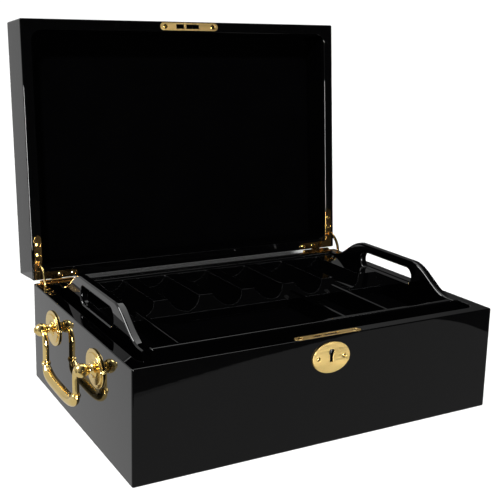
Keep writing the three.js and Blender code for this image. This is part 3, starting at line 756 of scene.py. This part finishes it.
def shells():
    """The boards of the base as one lacquered shell, and those of the lid as another."""
    base = open_box("base_shell", 0.0, BASE_TOP, PANEL_TOP)
    tools = [tool for side, _ in SIDES for tool in (leaf_recess(-1, side), stay_pocket(-1, side))]
    cut(base, *tools, plate_recess(-1), lock_mortise(), keyhole_cut(), *handle_sockets())
    finish_piece(base, LACQUER, "base", ["base_left_side", "base_right_side", "base_front_board",
                                         "base_back_board", "base_bottom_panel"], crease=40)
    lid = open_box("lid_shell", LID_HIGH.z, LID_LOW.z, CEILING)
    tools = [tool for side, _ in SIDES for tool in (leaf_recess(1, side), stay_pocket(1, side))]
    cut(lid, *tools, plate_recess(1), bolt_pocket())
    finish_piece(lid, LACQUER, "lid", ["lid_left_side", "lid_right_side", "lid_front_rail",
                                       "lid_back_rail", "lid_top_panel"], LID_TURN, crease=40)


# ---- felt ----
LINING_EDGE = 0.3 * MM
PADDING = {"columns": 64, "rows": 46, "seam": 0.9 * MM, "pull": 5 * MM, "ripple": 0.12 * MM}


def softened(node, name, material, radius, turn=None, segments=2):
    """The node's own solid with its edges rounded off."""
    source = frame["nodes"][node]
    bm = bmesh.new()
    bm.from_mesh(source.data)
    if turn:
        bmesh.ops.transform(bm, matrix=turn.inverted(), verts=bm.verts)
    bmesh.ops.remove_doubles(bm, verts=bm.verts, dist=10 * WELD)
    bmesh.ops.dissolve_limit(bm, angle_limit=math.radians(1), verts=bm.verts, edges=bm.edges)
    sharp = [e for e in bm.edges if len(e.link_faces) == 2 and e.calc_face_angle(0) > math.radians(30)]
    bmesh.ops.bevel(bm, geom=sharp, offset=radius, segments=segments, profile=0.5, affect="EDGES")
    obj = from_bmesh(name, bm)
    return finish_piece(obj, material, source["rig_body"], [node], turn)


def lid_padding():
    """The padded velvet panel under the lid's top: crowned, with edges that pull in to the seam."""
    low, high = closed_box("lid_pad")
    size = high - low
    count_x, count_y, seam = PADDING["columns"], PADDING["rows"], PADDING["seam"]
    bm = bmesh.new()
    rows = []
    for j in range(count_y + 1):
        row = []
        for i in range(count_x + 1):
            u, v = i / count_x, j / count_y
            x, y = low.x + size.x * u, low.y + size.y * v
            edge = min(u, 1 - u) * size.x, min(v, 1 - v) * size.y
            rise = math.prod(1 - math.exp(-e / PADDING["pull"]) for e in edge)
            ripple = PADDING["ripple"] * math.sin(x * 41 + 1.3 * math.sin(y * 37)) * math.sin(y * 53 + 0.7)
            row.append(bm.verts.new((x, y, high.z - seam - (size.z - seam + ripple) * rise)))
        rows.append(row)
    for one, two in zip(rows, rows[1:]):
        for i in range(count_x):
            bm.faces.new((one[i], one[i + 1], two[i + 1], two[i]))
    rim = rows[0] + [r[-1] for r in rows[1:]] + rows[-1][-2::-1] + [r[0] for r in rows[-2:0:-1]]
    back = [bm.verts.new((v.co.x, v.co.y, high.z)) for v in rim]
    skin_ring(bm, rim, back)
    obj = from_bmesh("lid_padding", bm)
    finish_piece(obj, FELT, "lid", ["lid_pad"], LID_TURN, crease=60)


def skin_ring(bm, one, two):
    """Faces between two rings of vertices, and a cap on the second."""
    for i in range(len(one)):
        j = (i + 1) % len(one)
        bm.faces.new((one[i], one[j], two[j], two[i]))
    bm.faces.new(two)


# ---- bail handles, drawn on the right ----
ROSETTE = {"thick": 2 * MM, "step": 1.1 * MM, "ledge": 7 * MM, "stud": 3 * MM, "stud_length": 11 * MM}
BAIL = {"wire": 3.4 * MM, "grip": 5.7 * MM, "end": 2.2 * MM, "drop": 44.4 * MM, "leg": 48.7 * MM,
        "grip_from": 33 * MM, "collar_at": 32 * MM, "taper": 8 * MM, "eye_reach": 9 * MM}
# The turned post, as (radius, distance from the board) in millimetres.
POST = ((9.4, 1), (9.4, 2.6), (9.0, 3.2), (7.2, 3.6), (5.6, 4.4), (4.6, 5.8), (4.3, 7.2), (4.9, 7.9),
        (5.6, 8.2), (5.6, 8.9), (5.0, 9.3), (5.4, 10), (6.4, 11.3), (7.0, 13), (7.15, 14.5), (6.9, 16.2),
        (6.1, 18), (4.9, 19.4), (3.9, 20), (3.5, 20.15), (3.3, 20.5), (3.1, 21.2), (2.4, 21.7),
        (1.2, 21.95), (0, 22))
BAIL_PIVOT = Vector(joint("bail_right_swing")["pos_m"])
# Half a section of a collar, as (radius, height) in millimetres.
COLLAR = ((0, -2.6), (3.8, -2.6), (4.3, -2.2), (4.3, -1.5), (4.0, -1.2), (4.7, -0.9), (5.0, 0))
COLLAR_LEAN = 0.12


def rosette(side, hand, row):
    """A stepped oval plate, cast with the post that the bail turns in and the stud through the board."""
    node = f"handle_{row}_rosette_{hand}"
    low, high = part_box(node)
    y, z = (low.y + high.y) / 2, (low.z + high.z) / 2
    width, height = high.y - low.y, high.z - low.z
    face = HALF_W + GAP
    mid = face + ROSETTE["thick"] - ROSETTE["step"] / 2
    base = plate("rosette", "x", [oval(y, z, width, height)], face, mid, 0.5 * MM, 4)
    top = mid + ROSETTE["step"]
    inner = oval(y, z, width - ROSETTE["ledge"], height - ROSETTE["ledge"])
    dome = plate("dome", "x", [inner], mid - MM, top, 0.9 * MM, 4)
    profile = [(0, 0)] + [(r * MM, h * MM) for r, h in POST]
    post = lathe("post", profile, (1, 0, 0), (HALF_W, y, z))
    x, reach = BAIL_PIVOT.x, BAIL["eye_reach"]
    cut(post, rod("tool", BAIL["end"] + GAP, (x, y - reach, z), (x, y + reach, z)))
    stud = rod("stud", ROSETTE["stud"], (HALF_W - ROSETTE["stud_length"], y, z), (HALF_W + MM, y, z))
    obj = mirrored(join(f"rosette_{row}_{hand}", [base, dome, post, stud]), side)
    finish_piece(obj, BRASS, "base", [node], crease=38)


def bail(side, hand):
    """The bail: round legs with a collar, and a grip that swells towards its middle."""
    x, y, z = BAIL_PIVOT
    leg, drop = BAIL["leg"], BAIL["drop"]
    u, low = leg / MM, -drop / MM
    half = [(75, 0), (66, 0), (58, 0), (53.5, -1.6), (50.2, -6), (u, -13), (u, -21), (u, -29),
            (u - 2.4, -36), (u - 9.5, -41.4), (u - 24, low + 0.5), (0, low)]
    whole = half + [(-across, height) for across, height in half[-2::-1]]
    line = smooth_path([Vector((x, y + a * MM, z + h * MM)) for a, h in whole], 9)
    sections = []
    for point in line:
        along, down = abs(point.y - y), z - point.z
        radius = BAIL["wire"]
        if along > leg:
            radius += (BAIL["end"] - radius) * min((along - leg) / BAIL["taper"], 1)
        swell = min(max((down - BAIL["grip_from"]) / (drop - BAIL["grip_from"]), 0), 1)
        radius += (BAIL["grip"] - BAIL["wire"]) * (1 - (1 - swell) ** 2)
        sections.append(oval(0, 0, 2 * radius, 2 * radius, 28))
    parts = [sweep("bail", line, sections, Vector((1, 0, 0)))]
    rings = [*COLLAR, *((r, -h) for r, h in reversed(COLLAR[:-1]))]
    for s in (-1, 1):
        foot = Vector((x, y + s * leg, z - BAIL["collar_at"]))
        profile = [(r * MM, h * MM) for r, h in rings]
        parts.append(lathe("collar", profile, (0, -COLLAR_LEAN * s, 1), foot, 32))
    obj = mirrored(join(f"bail_{hand}", parts), side)
    finish_piece(obj, BRASS, f"bail_{hand}", [f"handle_bail_{hand}"], crease=50)


# ---- tray ----
TRAY = {"edge": 2.2 * MM, "wall_edge": 1.4 * MM, "divider_edge": 1.1 * MM, "floor_edge": 0.5 * MM,
        "ledge_edge": 0.8 * MM, "crown_flat": 48 * MM, "crown_foot": 111 * MM, "slot_length": 96 * MM,
        "slot_height": 19 * MM, "slot_z": 125.5 * MM}
RACK = {"rows": 6, "pitch": 54 * MM, "radius": 20.5 * MM, "axis_rise": 7.7 * MM, "nose_depth": 12 * MM,
        "nose_drop": 15 * MM, "rear_lip": 5 * MM, "lip": 1.3 * MM}
HALF_ROW = math.sqrt(RACK["radius"] ** 2 - RACK["axis_rise"] ** 2)


def tray_end_outline():
    """A level crown that falls in a smooth wave to the height of the walls."""
    steps = 28
    rise = []
    for i in range(steps + 1):
        t = i / steps
        height = WALL_TOP + (TRAY_HIGH.z - WALL_TOP) * (1 - math.cos(math.pi * t)) / 2
        rise.append((TRAY["crown_foot"] + (TRAY["crown_flat"] - TRAY["crown_foot"]) * t, height))
    right = [(TRAY_HIGH.y, TRAY_LOW.z), (TRAY_HIGH.y, WALL_TOP), *rise]
    return right + [(-y, z) for y, z in reversed(right)]


def tray_ends():
    """The two ends with their hand slots."""
    for side, hand in SIDES:
        slot = round_bar(0, TRAY["slot_z"], TRAY["slot_length"], TRAY["slot_height"], 16)
        outlines = [tray_end_outline(), slot]
        board = plate(f"tray_end_{hand}", "x", outlines, TRAY_LOW.x, TRAY_HIGH.x, TRAY["edge"], 4)
        finish_piece(mirrored(board, side), LACQUER, "tray", [f"tray_{hand}_end"], crease=30)


def rack_top(x, top, floor):
    """The height of the rows' surface at x: round troughs between level ridges."""
    half = RACK["rows"] / 2 - 0.5
    row = min(max(round(x / RACK["pitch"] + half), 0), RACK["rows"] - 1)
    off = abs(x - (row - half) * RACK["pitch"])
    if off >= HALF_ROW:
        return top
    return max(top + RACK["axis_rise"] - math.sqrt(RACK["radius"] ** 2 - off ** 2), floor)


def rack_columns(half_width):
    """Places across the rack: its two ends, and the lips and the round of each trough."""
    places = [-half_width, half_width]
    half, steps = RACK["rows"] / 2 - 0.5, 40
    for row in range(RACK["rows"]):
        middle = (row - half) * RACK["pitch"]
        places += [middle + HALF_ROW * math.cos(math.pi * i / steps) for i in range(steps + 1)]
    return sorted(places)


def chip_rack(name, node, nose):
    """A block cut by the rows. With a nose, the ridges slope down at the front and the rows run out of it."""
    low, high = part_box(node)
    bm = bmesh.new()
    top, lip_y = high.z, high.y - RACK["rear_lip"]
    front_y = low.y if nose else low.y + RACK["rear_lip"]
    under, front, turn_row, rear, lip = [], [], [], [], []
    for x in rack_columns(high.x):
        z = rack_top(x, top, low.z)
        y, front_z = front_y, z
        if nose:
            nose_z = top - RACK["nose_drop"]
            front_z = min(z, nose_z)
            y = front_y + RACK["nose_depth"] * max(z - nose_z, 0) / RACK["nose_drop"]
        under.append(bm.verts.new((x, low.y, low.z)))
        front.append(bm.verts.new((x, front_y, front_z)))
        turn_row.append(bm.verts.new((x, y, z)))
        rear.append(bm.verts.new((x, lip_y, z)))
        lip.append(bm.verts.new((x, lip_y, top)))
    rows = [under, front, turn_row, rear, lip]
    if not nose:
        rim = [bm.verts.new((v.co.x, front_y, top)) for v in under]
        rows = [under, [bm.verts.new((v.co.x, low.y, top)) for v in under], rim, turn_row, rear, lip]
    rows.append([bm.verts.new((v.co.x, high.y, top)) for v in under])
    rows.append([bm.verts.new((v.co.x, high.y, low.z)) for v in under])
    rows.append(under)
    for one, two in zip(rows, rows[1:]):
        for i in range(len(one) - 1):
            bm.faces.new((one[i], one[i + 1], two[i + 1], two[i]))
    bmesh.ops.remove_doubles(bm, verts=bm.verts, dist=WELD)
    bmesh.ops.holes_fill(bm, edges=bm.edges, sides=0)
    bmesh.ops.dissolve_degenerate(bm, dist=WELD, edges=bm.edges)
    ease_lips(from_bmesh(name, bm), node)


def ease_lips(obj, node):
    """Rounds the sharp edges of a rack and gives them a lighter satin lacquer as a painted highlight."""
    round_off = obj.modifiers.new("round", "BEVEL")
    round_off.width = RACK["lip"]
    round_off.segments = 3
    round_off.limit_method = "ANGLE"
    round_off.angle_limit = math.radians(32)
    round_off.use_clamp_overlap = True
    # The rounded faces take the second material, which paints a highlight along the lips.
    round_off.material = 1
    obj.data.materials.append(LACQUER)
    obj.data.materials.append(EDGE_HIGHLIGHT)
    freeze(obj)
    finishes = [polygon.material_index for polygon in obj.data.polygons]
    finish_piece(obj, LACQUER, frame["nodes"][node]["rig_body"], [node], crease=35)
    obj.data.materials.append(EDGE_HIGHLIGHT)
    obj.data.polygons.foreach_set("material_index", finishes)


def tray():
    """All that lifts out with the tray."""
    tray_ends()
    for node in ("tray_front_wall", "tray_back_wall"):
        softened(node, node.replace("tray", "tray_soft"), LACQUER, TRAY["wall_edge"], segments=4)
    for number in (1, 2, 3):
        softened(f"tray_divider_{number}", f"divider_{number}", LACQUER, TRAY["divider_edge"], segments=3)
    softened("tray_floor", "tray_floor_felt", FELT, TRAY["floor_edge"])
    chip_rack("chip_rack", "tray_chip_rack", nose=True)


def base_inside():
    """The linings, the ledges that carry the tray, and the rack under it."""
    softened("base_wall_felt", "base_lining", FELT, LINING_EDGE)
    softened("base_floor_felt", "base_floor_lining", FELT, LINING_EDGE)
    for edge in ("left", "right", "front", "back"):
        softened(f"tray_ledge_{edge}", f"ledge_{edge}", FELT, TRAY["ledge_edge"])
    chip_rack("lower_rack", "lower_chip_rack", nose=False)


# ---- stage ----
ROOM = {"dome": 11, "wall": 12, "far": 12, "floor": 14}
CAMERA = {"place": (-0.4905, -0.8387, 0.4047), "azimuth": -28.64, "elevation": 11.92, "roll": 1.15,
          "lens": 64.90, "shift": (0.0362, -0.0613)}


def camera():
    """Looks from where the photograph was taken, with its small roll and shift."""
    a, e, r = (math.radians(CAMERA[k]) for k in ("azimuth", "elevation", "roll"))
    back = Vector((math.sin(a) * math.cos(e), -math.cos(a) * math.cos(e), math.sin(e)))
    right = Vector((math.cos(a), math.sin(a), 0))
    up = back.cross(right)
    x = right * math.cos(r) + up * math.sin(r)
    y = up * math.cos(r) - right * math.sin(r)
    data = bpy.data.cameras.new("camera")
    data.lens = CAMERA["lens"]
    data.shift_x, data.shift_y = CAMERA["shift"]
    data.clip_end = 100
    obj = add("camera", data)
    turn = Matrix((x, y, back)).transposed().to_4x4()
    obj.matrix_world = Matrix.Translation(CAMERA["place"]) @ turn
    bpy.context.scene.camera = obj


def softbox(name, place, aim_z, width, height, watts):
    """A lamp that only gloss and metal answer to, aimed at a height on the middle of the case."""
    light = bpy.data.lights.new(name, "AREA")
    light.shape = "RECTANGLE"
    light.size, light.size_y = width, height
    light.energy = watts
    obj = add(name, light)
    toward = Vector((0, 0, aim_z)) - Vector(place)
    obj.matrix_world = Matrix.Translation(place) @ toward.to_track_quat("-Z", "Y").to_matrix().to_4x4()
    obj.visible_diffuse = False


def floor():
    """A plain pale floor."""
    material, nodes, links, shader = node_material("studio_floor", Roughness=0.85, Specular_IOR_Level=0.2)
    grain = noise(nodes, links, texture_space(nodes, links), scale=3, detail=3)
    colour = blend_colours(nodes, links, grain, (0.86, 0.86, 0.86), (0.90, 0.90, 0.90))
    links.new(colour, shader.inputs["Base Color"])
    bm = bmesh.new()
    bmesh.ops.create_circle(bm, cap_ends=True, segments=96, radius=ROOM["floor"])
    obj = from_bmesh("floor", bm)
    obj.data.transform(Matrix.Translation((0, 0, -0.1 * MM)))
    obj.data.materials.append(material)


# How bright each card looks in a perfect mirror, against white at 1.
RADIANCE = {"paper": 0.23, "dark_room": 0.03, "side_paper": 0.56, "far_paper": 0.39}


def card(name, outline, radiance):
    """A flat card, just over the floor unless its corners say otherwise, seen only by reflections."""
    bm = bmesh.new()
    bm.faces.new([bm.verts.new((*corner, 0.5 * MM)[:3]) for corner in outline])
    bmesh.ops.triangulate(bm, faces=bm.faces)
    obj = from_bmesh(name, bm)
    obj.data.materials.append(glow_material(name, radiance)[0])
    seen_by(obj, "glossy")


def seen_by(obj, kind):
    """Leaves a stage piece visible to one kind of ray alone."""
    for ray in ("camera", "glossy", "diffuse", "shadow", "transmission", "volume_scatter"):
        setattr(obj, "visible_" + ray, ray == kind)


def cards():
    """Dim paper in front of the case, with a round corner at the right, and a dark room beyond its edge.

    Brighter paper lies to the left and behind, and dims from some way behind the case up to a far low wall.
    """
    far, left, right, front, split = ROOM["far"], -0.9, 0.395, -149 * MM, 0.6
    edge = [(left, -0.18), (-0.127, -0.336), (0.049, -0.384), (0.32, -0.425)]
    edge += arc(right - 0.07, -0.355, 0.07, -80, 0, 8)
    card("paper", [(left, front), *edge, (right, front)], RADIANCE["paper"])
    room = [(-far, front), (left, front), *edge, (right, far), (far, far), (far, -far), (-far, -far)]
    card("dark_room", room, RADIANCE["dark_room"])
    card("side_paper", rectangle(-far, right, front, split), RADIANCE["side_paper"])
    card("far_paper", rectangle(-far, right, split, far), RADIANCE["far_paper"])
    wall_right, wall_y, wall_top = 1, 10, 1.1
    wall = [(x, wall_y, z) for x, z in rectangle(-far, wall_right, 0, wall_top)]
    card("far_wall", wall, RADIANCE["far_paper"])


def backdrop():
    """A white wall all round, seen only by the camera."""
    bm = bmesh.new()
    radius = ROOM["wall"]
    bmesh.ops.create_cone(bm, cap_ends=False, segments=96, radius1=radius, radius2=radius, depth=16)
    obj = from_bmesh("backdrop", bm)
    obj.data.materials.append(glow_material("white_wall", 1.1)[0])
    seen_by(obj, "camera")


def reflected_studio():
    """The studio as the gloss sees it: bright at the left behind the case, fading to a dark room in front."""
    bm = bmesh.new()
    bmesh.ops.create_icosphere(bm, subdivisions=5, radius=ROOM["dome"])
    obj = from_bmesh("studio_dome", bm)
    material, nodes, links, shader = glow_material("studio_dome")
    lean = nodes.new("ShaderNodeVectorMath")
    lean.operation = "DOT_PRODUCT"
    lean.inputs[1].default_value = Vector((-0.75, 0.6, 0.25)).normalized() / ROOM["dome"]
    links.new(texture_space(nodes, links), lean.inputs[0])
    squared = nodes.new("ShaderNodeMath")
    squared.operation = "POWER"
    squared.inputs[1].default_value = 2
    bright = spread(nodes, links, lean.outputs["Value"], low=0.13, high=0.72, start=-0.25, stop=0.75)
    links.new(bright, squared.inputs[0])
    links.new(squared.outputs["Value"], shader.inputs["Emission Strength"])
    obj.data.materials.append(material)
    seen_by(obj, "glossy")


def world():
    """A trace of even light, so that no shadow is quite black."""
    sky = bpy.data.worlds.new("studio")
    bpy.context.scene.world = sky
    sky.use_nodes = True
    sky.node_tree.nodes["Background"].inputs["Color"].default_value = (1, 1, 1, 1)
    sky.node_tree.nodes["Background"].inputs["Strength"].default_value = 0.012


def front_wash():
    """Even light from above the camera, left out of reflections; the shadow falls behind the case."""
    light = bpy.data.lights.new("front_wash", "SUN")
    light.energy = 7.0
    light.angle = math.radians(5)
    obj = add("front_wash", light)
    azimuth, elevation = math.radians(CAMERA["azimuth"]), math.radians(38)
    toward = Vector((-math.sin(azimuth) * math.cos(elevation), math.cos(azimuth) * math.cos(elevation),
                     -math.sin(elevation)))
    obj.matrix_world = toward.to_track_quat("-Z", "Y").to_matrix().to_4x4()
    obj.visible_glossy = False


def stage():
    bpy.context.scene.view_settings.view_transform = "Standard"
    camera()
    floor()
    cards()
    backdrop()
    reflected_studio()
    world()
    front_wash()
    softbox("key", (-2.2, 0.9, 1.9), aim_z=0.1, width=1.2, height=1.2, watts=60)
    softbox("overhead", (0.5, 0.9, 2.4), aim_z=0.1, width=2.0, height=2.0, watts=18)
    softbox("front_fill", (-0.3, -2.0, 0.22), aim_z=0.15, width=0.6, height=0.7, watts=62)


stage()
shells()
for side, hand in SIDES:
    for up in (-1, 1):
        hinge_leaf(up, side, hand)
    hinge_stay(side, hand)
    hinge_pin(side, hand)
    for _, row in ENDS:
        rosette(side, hand, row)
    bail(side, hand)
lock_plate(-1, "lock_plate", "lock_face_plate", "lock_plate")
lock_plate(1, "keeper_plate", "strike_plate", "strike_plate")
escutcheon()
softened("lid_wall_felt", "lid_lining", FELT, LINING_EDGE, LID_TURN)
lid_padding()
base_inside()
tray()
for node in ("lock_case", "lock_bolt", "lock_cam"):
    frame["nodes"][node].data.materials[0] = STEEL
for _, hand in SIDES:
    for _, row in ENDS:
        frame["nodes"][f"handle_{row}_nut_{hand}"].data.materials[0] = STEEL
